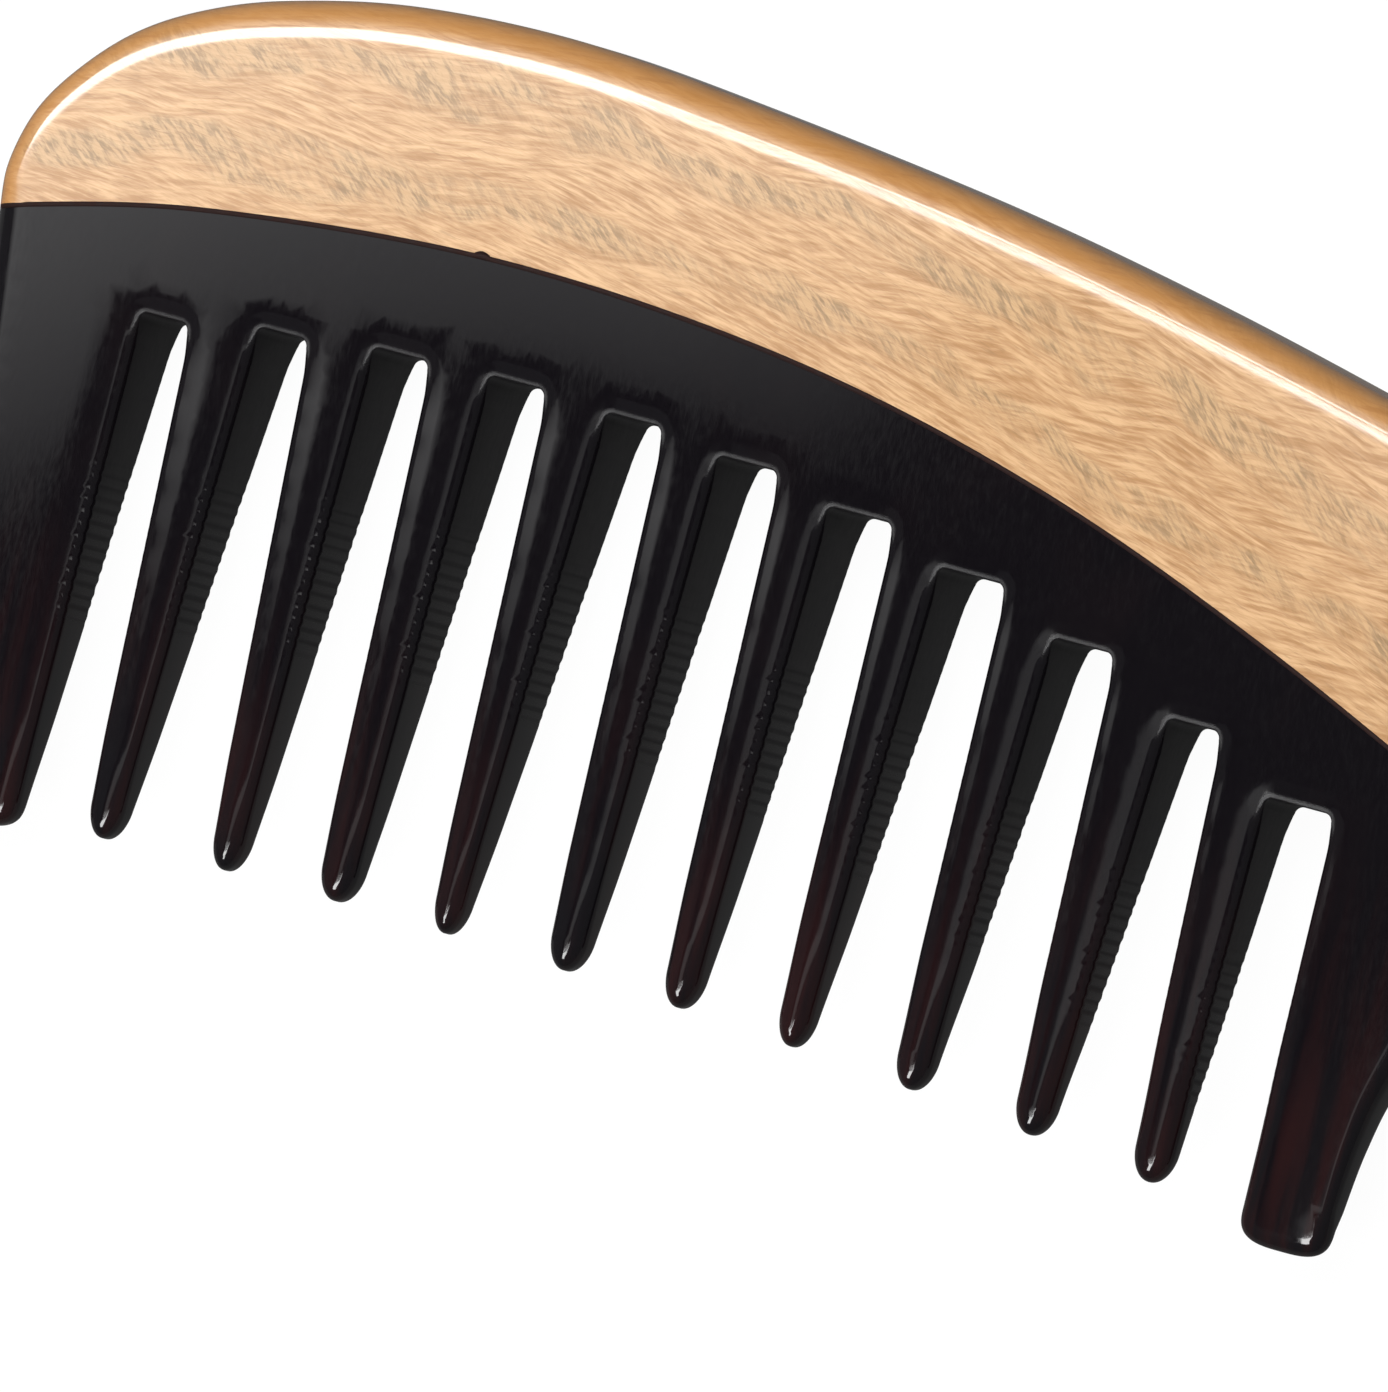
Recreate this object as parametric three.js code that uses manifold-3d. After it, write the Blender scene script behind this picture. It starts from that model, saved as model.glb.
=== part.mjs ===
// A handled beard comb: a wooden back and handle glued to a horn plate with twelve wide teeth.
//
// Millimetres. While it is shaped, x runs from the closed end to the handle, y runs from the
// tooth tips to the back, and z = 0 is the mid-plane. The comb lies flat, so at the end it is
// lifted until its lowest face is at z = 0 and centred in x and y.

import * as THREE from 'three';
import { mergeVertices } from 'three/addons/utils/BufferGeometryUtils.js';
import Module from 'manifold-3d';

const wasm = await Module();
wasm.setup();

// ---------------------------------------------------------------- driving dimensions

// Thickness: both faces lean in towards the tips, and the handle opens to one thickness.
const TIP_THICKNESS = 2.2; // at y = TIP_THICKNESS_Y
const TIP_THICKNESS_Y = 3.1;
const THICKNESS_PER_MM = 0.1254; // growth of the whole thickness towards the back
const HANDLE_THICKNESS = 9.2;
const HANDLE_BLEND_START = 113;
const HANDLE_BLEND_END = 145;

// Rounding of the edges
const EDGE_FLAT_HALF = 0.6; // half of the narrow band left between the two rounded edges
const TOOTH_EDGE_RADIUS = 0.6;
const RING_COUNT = 4; // rings in each rounded edge

// Teeth, sawn and filed by hand at a pitch of about 7.8. Each row holds the left and right
// flank at the root and then at the nose. The first and the last are the wide end teeth.
const TEETH = [
  [0.4, 10.9, 4.6, 10.5], [14.1, 18.5, 15.0, 17.2], [21.8, 26.0, 23.2, 25.25], [29.7, 33.65, 30.4, 32.8],
  [37.4, 41.5, 38.0, 39.95], [45.25, 49.1, 45.75, 48.1], [53.1, 56.7, 53.45, 55.7], [61.0, 64.5, 61.1, 63.2],
  [68.85, 72.6, 69.0, 71.35], [76.6, 80.9, 77.05, 79.5], [84.35, 88.1, 85.05, 87.6], [92.5, 104.0, 92.6, 98.4],
];
const NOSE_LENGTH = 2.0;
const LAND_HEIGHT = 6.5; // horn between the seam and the top of each gap
const CEILING_CORNER_RADIUS = 0.5;
const TIP_LINE_TOP = 5.1; // highest tip, at TIP_LINE_X
const TIP_LINE_X = 25.7;
const TIP_LINE_RADIUS = 568;
const END_TOOTH_EXTRA = 0.8;
const END_TOOTH_SQUARENESS = 3.2; // exponent of the blunt noses; 2 is an ellipse

// Seam between wood and horn, from the closed end to the notch under the handle
const SEAM_POINTS = [
  [-0.2, 38.9], [13.1, 41.8], [32.6, 43.4], [52.0, 42.25], [69.4, 38.75], [86.9, 32.9], [106.2, 24.8],
];
const GLUE_THICKNESS = 0.2;
const GLUE_CLEARANCE = 0.05; // left on both sides of the glue film

// Outer edge of the wood, from the seam round the back, the handle and its butt
const BACK_POINTS = [
  [-0.2, 38.9], [-0.4, 41.6], [0.5, 45.0], [2.5, 48.0], [5.5, 50.9], [9.3, 53.1], [14.4, 54.9],
  [22.5, 56.5], [32.8, 57.0], [44.0, 56.2], [60.7, 54.3], [74.6, 52.0], [88.0, 49.2],
  [105.7, 45.1], [120.0, 41.6], [134.0, 38.6], [148.0, 36.2], [160.0, 33.6],
  [168.8, 29.8], [173.8, 23.9], [174.2, 17.8], [169.2, 13.2], [161.8, 12.2],
  [152.0, 14.7], [140.0, 18.7], [126.0, 23.4],
];
const NOTCH_RADIUS = 6;
const NOTCH_START_HEADING = THREE.MathUtils.degToRad(58);
const NOTCH_END_HEADING = THREE.MathUtils.degToRad(-16);

// Outer edge of the last tooth, from its tip up to the notch
const LAST_TOOTH_EDGE = [[98.4, 2.7], [98.8, 7.0], [99.8, 11.3], [103.1, 20.1], [106.2, 24.8]];

// Hidden pins that hold the plate to the back, each in line with a tooth
const PIN_TEETH = [2, 5, 8, 11];
const PIN_RADIUS = 1.25;
const PIN_LENGTH = 11;
const PIN_CHAMFER = 0.3;
const PIN_CLEARANCE = 0.15;
const PIN_SIDES = 16;

// ---------------------------------------------------------------- curves

const toVector = ([x, y]) => new THREE.Vector2(x, y);
const seam = new THREE.SplineCurve(SEAM_POINTS.map(toVector));

// The y of a curve whose x only grows, at one x.
function heightOn(curve, x) {
  let low = 0;
  let high = 1;
  for (let step = 0; step < 40; step += 1) {
    const middle = (low + high) / 2;
    if (curve.getPoint(middle).x < x) low = middle;
    else high = middle;
  }
  return curve.getPoint(low).y;
}

// Points on an arc that turns clockwise from one heading to another.
function clockwiseArc(start, radius, fromHeading, toHeading, steps) {
  const centre = new THREE.Vector2(
    start.x + radius * Math.sin(fromHeading),
    start.y - radius * Math.cos(fromHeading),
  );
  const points = [];
  for (let step = 0; step <= steps; step += 1) {
    const heading = THREE.MathUtils.lerp(fromHeading, toHeading, step / steps);
    points.push(new THREE.Vector2(
      centre.x - radius * Math.sin(heading),
      centre.y + radius * Math.cos(heading),
    ));
  }
  return points;
}

// ---------------------------------------------------------------- thickness and edges

function thicknessAt(x, y) {
  const wedge = TIP_THICKNESS + THICKNESS_PER_MM * (y - TIP_THICKNESS_Y);
  const blend = THREE.MathUtils.smoothstep(x, HANDLE_BLEND_START, HANDLE_BLEND_END);
  return THREE.MathUtils.lerp(wedge, HANDLE_THICKNESS, blend);
}

const outerEdgeRadius = (x, y) => thicknessAt(x, y) / 2 - EDGE_FLAT_HALF;
const toothEdgeRadius = () => TOOTH_EDGE_RADIUS;
const sharp = () => 0;

// An outline is a counter-clockwise list of rim points. Each has a rounding radius and may
// name the direction its rounding runs in; otherwise that is square to the outline.
function rim(points, radiusOf, inward = null) {
  return points.map((p) => ({ x: p.x, y: p.y, radius: radiusOf(p.x, p.y), inward }));
}

function addInwardDirections(outline) {
  outline.forEach((p, i) => {
    if (p.inward) return;
    const before = outline[(i + outline.length - 1) % outline.length];
    const after = outline[(i + 1) % outline.length];
    const a = new THREE.Vector2(p.x - before.x, p.y - before.y).normalize();
    const b = new THREE.Vector2(after.x - p.x, after.y - p.y).normalize();
    const tangent = a.add(b).normalize();
    p.inward = new THREE.Vector2(-tangent.y, tangent.x);
  });
}

// A plate with rounded edges: a stack of inset rings on each face, closed by a cap. The cap is
// cut into triangles by the caller's function, or in one piece where the face is flat.
function roundedPlate(outline, capTriangles = null) {
  addInwardDirections(outline);
  const count = outline.length;
  const positions = [];
  const index = [];

  for (const side of [1, -1]) {
    for (let ring = 0; ring < RING_COUNT; ring += 1) {
      const angle = (ring / (RING_COUNT - 1)) * (Math.PI / 2);
      for (const p of outline) {
        const inset = p.radius * (1 - Math.cos(angle));
        const drop = p.radius * (1 - Math.sin(angle));
        const x = p.x + p.inward.x * inset;
        const y = p.y + p.inward.y * inset;
        positions.push(x, y, side * (thicknessAt(x, y) / 2 - drop));
      }
    }
  }

  const vertex = (side, ring, i) => (side * RING_COUNT + ring) * count + (i % count);
  const quad = (a, b, c, d) => index.push(a, b, c, a, c, d);
  for (let i = 0; i < count; i += 1) {
    quad(vertex(1, 0, i), vertex(1, 0, i + 1), vertex(0, 0, i + 1), vertex(0, 0, i));
    for (let ring = 0; ring < RING_COUNT - 1; ring += 1) {
      quad(vertex(0, ring, i), vertex(0, ring, i + 1), vertex(0, ring + 1, i + 1), vertex(0, ring + 1, i));
      quad(vertex(1, ring + 1, i), vertex(1, ring + 1, i + 1), vertex(1, ring, i + 1), vertex(1, ring, i));
    }
  }

  const top = RING_COUNT - 1;
  const capRing = outline.map((p, i) => new THREE.Vector2(
    positions[3 * vertex(0, top, i)],
    positions[3 * vertex(0, top, i) + 1],
  ));
  const triangles = capTriangles ? capTriangles(capRing) : THREE.ShapeUtils.triangulateShape(capRing, []);
  for (const [a, b, c] of triangles) {
    index.push(vertex(0, top, a), vertex(0, top, b), vertex(0, top, c));
    index.push(vertex(1, top, a), vertex(1, top, c), vertex(1, top, b));
  }
  return closedGeometry(positions, index);
}

// Joins equal vertices and drops the triangles that this collapses.
function closedGeometry(positions, index) {
  const geometry = new THREE.BufferGeometry();
  geometry.setAttribute('position', new THREE.Float32BufferAttribute(positions, 3));
  geometry.setIndex(index);
  const merged = mergeVertices(geometry, 1e-4);
  const kept = [];
  const all = merged.index.array;
  for (let i = 0; i < all.length; i += 3) {
    const [a, b, c] = [all[i], all[i + 1], all[i + 2]];
    if (a !== b && b !== c && c !== a) kept.push(a, b, c);
  }
  merged.setIndex(kept);
  return merged;
}

// ---------------------------------------------------------------- booleans

function toSolid(geometry) {
  const bare = geometry.clone();
  bare.deleteAttribute('normal');
  bare.deleteAttribute('uv');
  const merged = mergeVertices(bare, 1e-4);
  return new wasm.Manifold(new wasm.Mesh({
    numProp: 3,
    vertProperties: new Float32Array(merged.attributes.position.array),
    triVerts: new Uint32Array(merged.index.array),
  }));
}

function toGeometry(solid) {
  const mesh = solid.getMesh();
  const geometry = new THREE.BufferGeometry();
  geometry.setAttribute('position', new THREE.Float32BufferAttribute(mesh.vertProperties, 3));
  geometry.setIndex(Array.from(mesh.triVerts));
  geometry.computeVertexNormals();
  return geometry;
}

function cut(geometry, cutters) {
  let solid = toSolid(geometry);
  for (const cutter of cutters) solid = solid.subtract(toSolid(cutter));
  return toGeometry(solid);
}

// ---------------------------------------------------------------- wooden back

const SEAM_STEPS = 30;
const BACK_STEPS = 120;
const seamPoints = seam.getSpacedPoints(SEAM_STEPS);
const seamLeftward = seamPoints.slice().reverse();
const seamStartDirection = seam.getTangent(0);
const seamEndDirection = seam.getTangent(1).negate();
const shifted = (points, dy) => points.map((p) => new THREE.Vector2(p.x, p.y + dy));

function woodenBack() {
  const notchStart = seamPoints[SEAM_STEPS];
  const notch = clockwiseArc(notchStart, NOTCH_RADIUS, NOTCH_START_HEADING, NOTCH_END_HEADING, 8);
  const notchEnd = notch[notch.length - 1];
  const back = new THREE.SplineCurve([...BACK_POINTS.map(toVector), notchEnd]);
  const edge = back.getSpacedPoints(BACK_STEPS);
  const seamEdge = shifted(seamPoints, GLUE_THICKNESS / 2 + GLUE_CLEARANCE);

  // Counter-clockwise: along the seam to the notch, back over the notch and round the handle.
  const notchCorner = rim([seamEdge[SEAM_STEPS]], outerEdgeRadius, seamEndDirection);
  const leftCorner = rim([seamEdge[0]], outerEdgeRadius, seamStartDirection);
  const clearOfCorner = (p) => p.x > seamEdge[0].x + outerEdgeRadius(p.x, p.y)
    && p.x < seamEdge[SEAM_STEPS].x - outerEdgeRadius(p.x, p.y);
  const outline = [
    ...leftCorner,
    ...rim(seamEdge.filter(clearOfCorner), sharp),
    ...notchCorner,
    ...rim(notch.slice(1, -1), outerEdgeRadius),
    ...rim(edge.slice(1).reverse(), outerEdgeRadius),
  ];

  // The handle's face is a strip between points equally far from its butt, so that it follows
  // the change of thickness; the rest of the face is flat.
  const handleStart = outline.length - BACK_STEPS;
  const butt = outline.reduce((best, p, i) => (p.x > outline[best].x ? i : best), 0);
  const reach = butt - handleStart;
  const capTriangles = (ring) => {
    const triangles = [[butt - 1, butt, butt + 1]];
    for (let j = 1; j < reach; j += 1) {
      triangles.push([butt - j, butt + j, butt + j + 1], [butt - j, butt + j + 1, butt - j - 1]);
    }
    const flat = [];
    for (let i = butt + reach; i < outline.length; i += 1) flat.push(i);
    for (let i = 0; i <= handleStart; i += 1) flat.push(i);
    for (const triangle of THREE.ShapeUtils.triangulateShape(flat.map((i) => ring[i]), [])) {
      triangles.push(triangle.map((i) => flat[i]));
    }
    return triangles;
  };
  return roundedPlate(outline, capTriangles);
}

// ---------------------------------------------------------------- horn plate

const teeth = TEETH.map(([rootLeft, rootRight, tipLeft, tipRight], i) => {
  const isEnd = i === 0 || i === TEETH.length - 1;
  const middle = (tipLeft + tipRight) / 2;
  const tipLine = TIP_LINE_TOP - (middle - TIP_LINE_X) ** 2 / (2 * TIP_LINE_RADIUS);
  return {
    rootLeft,
    rootRight,
    tipLeft,
    tipRight,
    tipY: isEnd ? tipLine - END_TOOTH_EXTRA : tipLine,
    squareness: isEnd ? END_TOOTH_SQUARENESS : 2,
    noseSteps: isEnd ? 12 : 8,
  };
});

// The rounded end of a tooth, from its left flank to its right flank.
function nosePoints(tooth) {
  const centre = (tooth.tipLeft + tooth.tipRight) / 2;
  const halfWidth = (tooth.tipRight - tooth.tipLeft) / 2;
  const power = 2 / tooth.squareness;
  const points = [];
  for (let step = 0; step <= tooth.noseSteps; step += 1) {
    const angle = Math.PI * (step / tooth.noseSteps);
    const across = Math.cos(angle);
    points.push(new THREE.Vector2(
      centre - halfWidth * Math.sign(across) * Math.abs(across) ** power,
      tooth.tipY + NOSE_LENGTH * (1 - Math.sin(angle) ** power),
    ));
  }
  return points;
}

// The top of the gap between two teeth, from left to right, with small rounded corners.
function ceilingPoints(left, right) {
  const y = heightOn(seam, (left + right) / 2) - LAND_HEIGHT;
  const radius = CEILING_CORNER_RADIUS;
  const start = new THREE.Vector2(left, y - radius);
  const corner = clockwiseArc(start, radius, Math.PI / 2, 0, 2);
  const farCorner = corner.map((p) => new THREE.Vector2(left + right - p.x, p.y)).reverse();
  return [...corner, ...farCorner];
}

function hornPlate() {
  const seamEdge = shifted(seamLeftward, -GLUE_THICKNESS / 2 - GLUE_CLEARANCE);
  const rightCorner = seamEdge[0];
  const leftCorner = seamEdge[SEAM_STEPS];
  const clearOfCorner = (p) => p.x > leftCorner.x + outerEdgeRadius(p.x, p.y)
    && p.x < rightCorner.x - outerEdgeRadius(p.x, p.y);
  const outline = [
    ...rim([rightCorner], outerEdgeRadius, seamEndDirection),
    ...rim(seamEdge.filter(clearOfCorner), sharp),
    ...rim([leftCorner], outerEdgeRadius, seamStartDirection),
  ];

  const noseStart = new THREE.Vector2(teeth[0].tipLeft, teeth[0].tipY + NOSE_LENGTH);
  const leftEdge = new THREE.LineCurve(leftCorner, noseStart);
  outline.push(...rim(leftEdge.getPoints(6).slice(1, -1), outerEdgeRadius));
  teeth.forEach((tooth, i) => {
    outline.push(...rim(nosePoints(tooth), toothEdgeRadius));
    const next = teeth[i + 1];
    if (next) outline.push(...rim(ceilingPoints(tooth.rootRight, next.rootLeft), toothEdgeRadius));
  });
  const rightEdge = new THREE.SplineCurve(LAST_TOOTH_EDGE.map(toVector)).getSpacedPoints(8);
  outline.push(...rim(rightEdge.slice(1, -1), outerEdgeRadius));
  return roundedPlate(outline);
}

// ---------------------------------------------------------------- glue film

function glueFilm() {
  const lower = shifted(seamPoints, -GLUE_THICKNESS / 2);
  const upper = shifted(seamLeftward, GLUE_THICKNESS / 2);
  const middle = (points) => points.filter((p) => p.x > seamPoints[0].x + outerEdgeRadius(p.x, p.y)
    && p.x < seamPoints[SEAM_STEPS].x - outerEdgeRadius(p.x, p.y));
  return roundedPlate([
    ...rim([lower[0]], outerEdgeRadius, seamStartDirection),
    ...rim(middle(lower), sharp),
    ...rim([lower[SEAM_STEPS], upper[0]], outerEdgeRadius, seamEndDirection),
    ...rim(middle(upper), sharp),
    ...rim([upper[SEAM_STEPS]], outerEdgeRadius, seamStartDirection),
  ]);
}

// ---------------------------------------------------------------- pins

function pinGeometry() {
  const half = PIN_LENGTH / 2;
  return new THREE.LatheGeometry([
    new THREE.Vector2(0, -half),
    new THREE.Vector2(PIN_RADIUS - PIN_CHAMFER, -half),
    new THREE.Vector2(PIN_RADIUS, -half + PIN_CHAMFER),
    new THREE.Vector2(PIN_RADIUS, half - PIN_CHAMFER),
    new THREE.Vector2(PIN_RADIUS - PIN_CHAMFER, half),
    new THREE.Vector2(0, half),
  ], PIN_SIDES);
}

const pinPlaces = PIN_TEETH.map((number) => {
  const tooth = teeth[number - 1];
  const x = (tooth.rootLeft + tooth.rootRight) / 2;
  return new THREE.Vector2(x, heightOn(seam, x));
});

const pinHoles = pinPlaces.map((place) => {
  const radius = PIN_RADIUS + PIN_CLEARANCE;
  const hole = new THREE.CylinderGeometry(radius, radius, PIN_LENGTH + 2 * PIN_CLEARANCE, PIN_SIDES);
  return hole.translate(place.x, place.y, 0);
});

// ---------------------------------------------------------------- assembly

const material = (color, roughness) => new THREE.MeshStandardMaterial({ color, roughness, metalness: 0 });
const wood = material(0xcda468, 0.35);
const horn = material(0x161315, 0.18);
const glue = material(0x2b1c14, 0.6);
const bamboo = material(0xd9c38f, 0.7);

const comb = new THREE.Group();

function addPiece(name, geometry, pieceMaterial) {
  const mesh = new THREE.Mesh(geometry, pieceMaterial);
  mesh.name = name;
  comb.add(mesh);
  return mesh;
}

addPiece('wooden_back', cut(woodenBack(), pinHoles), wood);
addPiece('horn_tooth_plate', cut(hornPlate(), pinHoles), horn);
addPiece('glue_line', cut(glueFilm(), pinHoles), glue);
pinPlaces.forEach((place, i) => {
  addPiece(`dowel_pin_${i + 1}`, pinGeometry(), bamboo).position.set(place.x, place.y, 0);
});

const box = new THREE.Box3().setFromObject(comb);
const centre = box.getCenter(new THREE.Vector3());
comb.position.set(-centre.x, -centre.y, -box.min.z);

export default comb;
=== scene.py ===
import math

import bmesh
import bpy
import numpy as np
from mathutils import Matrix, Vector
from mathutils.geometry import delaunay_2d_cdt
from mathutils.kdtree import KDTree


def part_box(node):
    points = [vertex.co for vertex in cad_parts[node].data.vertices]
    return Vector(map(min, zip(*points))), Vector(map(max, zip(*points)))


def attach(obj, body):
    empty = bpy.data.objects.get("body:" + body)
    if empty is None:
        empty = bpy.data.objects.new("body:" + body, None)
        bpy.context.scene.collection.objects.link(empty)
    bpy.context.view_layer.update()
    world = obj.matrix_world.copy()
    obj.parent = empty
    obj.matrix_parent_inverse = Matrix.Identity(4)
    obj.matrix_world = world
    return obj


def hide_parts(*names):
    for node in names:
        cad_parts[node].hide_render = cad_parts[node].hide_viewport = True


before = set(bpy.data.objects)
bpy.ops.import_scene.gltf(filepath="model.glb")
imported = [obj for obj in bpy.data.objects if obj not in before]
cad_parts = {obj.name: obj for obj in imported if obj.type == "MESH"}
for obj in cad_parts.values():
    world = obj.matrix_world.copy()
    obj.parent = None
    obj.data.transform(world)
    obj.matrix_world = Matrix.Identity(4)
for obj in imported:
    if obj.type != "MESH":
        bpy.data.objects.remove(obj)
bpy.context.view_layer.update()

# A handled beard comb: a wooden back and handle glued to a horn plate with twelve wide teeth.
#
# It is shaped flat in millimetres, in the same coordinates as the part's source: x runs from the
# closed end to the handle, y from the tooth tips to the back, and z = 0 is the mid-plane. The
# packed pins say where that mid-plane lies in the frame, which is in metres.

MM = 0.001

# ---------------------------------------------------------------- driving dimensions, in mm

TIP_THICKNESS = 2.2
TIP_THICKNESS_Y = 3.1
THICKNESS_PER_MM = 0.1254
HANDLE_THICKNESS = 9.2
HANDLE_BLEND = (113.0, 145.0)
OUTER_EDGE_SHARE = 0.6  # of the half thickness that the rounding of an outer edge takes
TOOTH_EDGE_RADIUS = 0.6
CEILING_EDGE_RADIUS = 0.14
CEILING_BLEND = 2.2  # below a ceiling, where its flanks take on its smaller edge radius
NOSE_EDGE_RADIUS = 0.9
NOSE_EDGE_REACH = (5.0, 12.0)  # y over which the tooth edges go from the tips' radius to the roots'

SEAM_POINTS = [
    (-0.2, 38.9), (13.1, 41.8), (32.6, 43.4), (52.0, 42.25), (69.4, 38.75), (86.9, 32.9), (106.2, 24.8),
]
SEAM_HALF_GAP = 0.15  # from the middle of the glue line to the wood, and to the horn
BACK_POINTS = [
    (-0.2, 38.9), (-0.4, 41.6), (0.5, 45.0), (2.5, 48.0), (5.5, 50.9), (9.3, 53.1), (14.4, 54.9),
    (22.5, 56.5), (32.8, 57.0), (44.0, 56.2), (60.7, 54.3), (74.6, 52.0), (88.0, 49.2),
    (105.7, 45.1), (120.0, 41.6), (134.0, 38.6), (148.0, 36.2), (160.0, 33.6),
    (168.8, 29.8), (173.77, 23.9), (174.17, 17.8), (169.2, 13.2), (161.8, 12.2),
    (152.0, 14.7), (140.0, 18.7), (126.0, 23.4),
]
NOTCH_RADIUS = 6.0
NOTCH_HEADINGS = (math.radians(58), math.radians(-16))
LAST_TOOTH_EDGE = [(98.4, 2.7), (98.8, 7.0), (99.8, 11.3), (103.1, 20.1), (106.2, 24.8)]

# Left and right flank of each tooth at the root, then at the nose. The outer edges of the comb
# have lines of their own, so the outermost teeth have no root there.
TEETH = [
    (None, 10.9, 4.6, 10.5), (14.1, 18.5, 15.0, 17.2), (21.8, 26.0, 23.2, 25.25),
    (29.7, 33.65, 30.4, 32.8), (37.4, 41.5, 38.0, 39.95), (45.25, 49.1, 45.75, 48.1),
    (53.1, 56.7, 53.45, 55.7), (61.0, 64.5, 61.1, 63.2), (68.85, 72.6, 69.0, 71.35),
    (76.6, 80.9, 77.05, 79.5), (84.35, 88.1, 85.05, 87.6), (92.5, None, 92.6, 98.4),
]
FIRST_PIN_TOOTH = 2  # the tooth that dowel_pin_1 stands over
LAND_HEIGHT = 6.5  # of horn between the seam and the top of a gap
CEILING_CORNER_RADIUS = 0.5
NOSE_LENGTH = 2.0
TIP_LINE_TOP = 5.1  # the tips lie on a wide arc
TIP_LINE_X = 25.7
TIP_LINE_RADIUS = 568.0
END_TOOTH_EXTRA = 0.8  # how far the first and the last tooth reach past it
END_TOOTH_SQUARENESS = 3.2  # 2 is an ellipse

# Marks left by the saw across the flanks: deep on the middle of each flank, faint above it.
# Places are measured down from the top of the gap.
SAW_PITCH = 0.72
SAW_DEPTH = 0.05
SAW_FROM = 8.0
SAW_TO = 17.0
SAW_FADE = 2.5
SAW_FAINT_DEPTH = 0.012
SAW_FAINT_SCORE = 0.45  # how matt the faint marks are
SAW_FAINT_FADE = (0.3, 1.5)
SAW_WOBBLES = [(0.35, 1.9, 1), (0.3, 4.3, 2)]  # strength, rate, and shift from tooth to tooth
LEFT_FLANK_SHARE = 0.2  # of the depth, on the left flanks

# How matt the horn is, from 0 where it is polished to 1
MATT_FLANK = 0.75  # at the top of each flank
MATT_CEILING = 0.8
MATT_RINGS = 3  # rings of the rounded edge over which that fades

# The polished faces fall away softly round the gaps, and further in on the teeth: how deep at a
# straight edge, and over what width
GAP_CROWN = 0.085
GAP_CROWN_WIDTH = 0.45
TOOTH_CROWN = 0.065
TOOTH_CROWN_WIDTH = 0.85
CROWN_CELL = 0.1  # of the grid on which both are worked out
CROWN_REACH = 4  # in widths
CROWN_ROOM = 0.7  # share of the upright half of the rim that a crown can take away

# The faces of the handle fall away towards its rim: how deep there, and over what width
HANDLE_CROWN = 0.8
HANDLE_CROWN_WIDTH = 8.0

# The glue line lies just below the faces, but for one bead that was squeezed out
GLUE_DIP = 0.02
GLUE_STEP = 0.15
GLUE_BEAD_X = 31.5
GLUE_BEAD_WIDTH = 0.45
GLUE_BEAD_SPREAD = 0.2
GLUE_BEAD_RISE = 0.1

# Spacing of the outlines
FINE_STEP = 0.16
NOSE_STEP = 0.13
COARSE_STEP = 0.4
LONGEST_STEP = 1.0  # a longer one leads from one part of the rim to another
NOSE_SAMPLES = 161
CEILING_CORNER_STEPS = 6
NOTCH_STEPS = 24

# Rings over the rounded edges, then rows of points: distance to the rim, and stride along it
HORN_RINGS = 8
WOOD_RINGS = 12
TOOTH_RING_REACH = 0.3
HORN_ROWS = [(0.4, 1), (0.5, 1), (0.62, 2), (0.8, 2), (1.05, 2), (1.4, 3), (2.0, 4), (2.8, 5)]
WOOD_ROWS = [(4.2, 1), (5.0, 1), (6.2, 2)]
ROW_SHARE = 0.97  # of that distance that a point really has to be away from the rim
ROW_SLACK = 0.01  # and how much less it may be
RING_CLEARANCE = 0.6 * FINE_STEP  # from the innermost ring to the points within
SEAM_CLEARANCE = 1.05  # in edge radii, from the end of the seam to its next point
SEAM_SWING = 3.0  # from the end of the seam, where the rings turn along it

# Grids inside the rows, thinned out by how the spacing grows with the distance to the rim
HORN_GRID = 0.8
WOOD_GRID = 1.1
HORN_SPACING_GROWTH = 0.27
WOOD_SPACING_GROWTH = 0.12
LEAST_SPACING = 0.1
GRID_SPACING = 0.7  # in steps of the grid
THINNING_CELL = 1.0  # wider than any spacing

# Cleaning and shading of the mesh
TRIANGLE_TOLERANCE = 1e-7
MERGE_DISTANCE = 1e-3 * MM
SLIVER_LENGTH = 1e-4 * MM
NORMAL_STEP = 0.03
UPRIGHT_BELOW = 0.04  # distance to the rim
WALL_NORMAL_Z = 0.1
TINY = 1e-12  # stands in for a length of zero that would be divided by


# ---------------------------------------------------------------- curves

def spline(points, steps=40):
    """A uniform Catmull-Rom curve through the points."""
    p = np.array(points, float)
    padded = np.vstack([p[:1], p, p[-1:]])
    t = np.linspace(0, 1, steps, endpoint=False)[:, None]
    spans = []
    for a, b, c, d in zip(padded, padded[1:], padded[2:], padded[3:]):
        m0 = (c - a) / 2
        m1 = (d - b) / 2
        spans.append(
            (2 * t**3 - 3 * t**2 + 1) * b + (t**3 - 2 * t**2 + t) * m0
            + (3 * t**2 - 2 * t**3) * c + (t**3 - t**2) * m1
        )
    return np.vstack([*spans, p[-1:]])


def respaced(line, step):
    """The same line with evenly spaced points, ends included."""
    line = np.asarray(line, float)
    along = np.concatenate([[0], np.cumsum(np.linalg.norm(np.diff(line, axis=0), axis=1))])
    count = max(2, int(round(along[-1] / step)) + 1)
    at = np.linspace(0, along[-1], count)
    return np.column_stack([np.interp(at, along, line[:, 0]), np.interp(at, along, line[:, 1])])


def clockwise_arc(start, radius, headings, steps):
    """Points on an arc that turns clockwise from one heading to another."""
    first, last = headings
    heading = np.linspace(first, last, steps + 1)
    centre = np.array(start) + radius * np.array([math.sin(first), -math.cos(first)])
    return centre + radius * np.column_stack([-np.sin(heading), np.cos(heading)])


def smoothstep(value, low, high):
    """A smooth rise from 0 at low to 1 at high."""
    t = np.clip((value - low) / (high - low), 0, 1)
    return t * t * (3 - 2 * t)


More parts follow.
